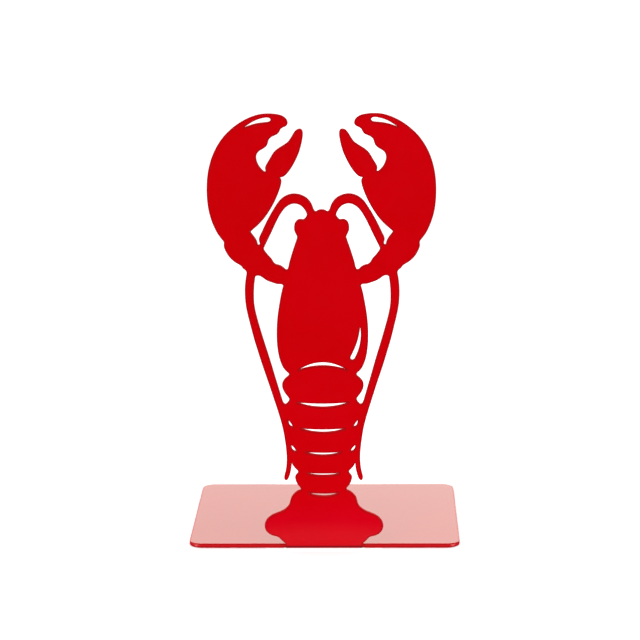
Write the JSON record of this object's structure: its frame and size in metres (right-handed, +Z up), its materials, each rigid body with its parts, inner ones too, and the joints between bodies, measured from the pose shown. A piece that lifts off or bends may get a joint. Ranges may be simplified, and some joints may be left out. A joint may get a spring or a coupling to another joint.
{
  "type": "bookend",
  "caption": "Bookend folded from steel sheet: a lobster silhouette with cut slits stands on a rectangular foot, gloss red coat, thin grip pads beneath.",
  "frame": {"origin": "middle of the footprint (foot plate plus fold), on the shelf", "axes": "+Z up, +X to the right of someone facing the lobster, +Y from the lobster's front face towards the books"},
  "size_m": [0.124, 0.1002, 0.2004],
  "materials": {
    "red_gloss_coat": "gloss red powder coat or lacquer over steel sheet, all faces and cut edges",
    "pad_rubber": "matt dark self-adhesive rubber"
  },
  "bodies": {
    "root": {"lobster_sheet": "red_gloss_coat", "pad_front_left": "pad_rubber", "pad_front_right": "pad_rubber", "pad_rear_left": "pad_rubber", "pad_rear_right": "pad_rubber"}
  },
  "joints": []
}
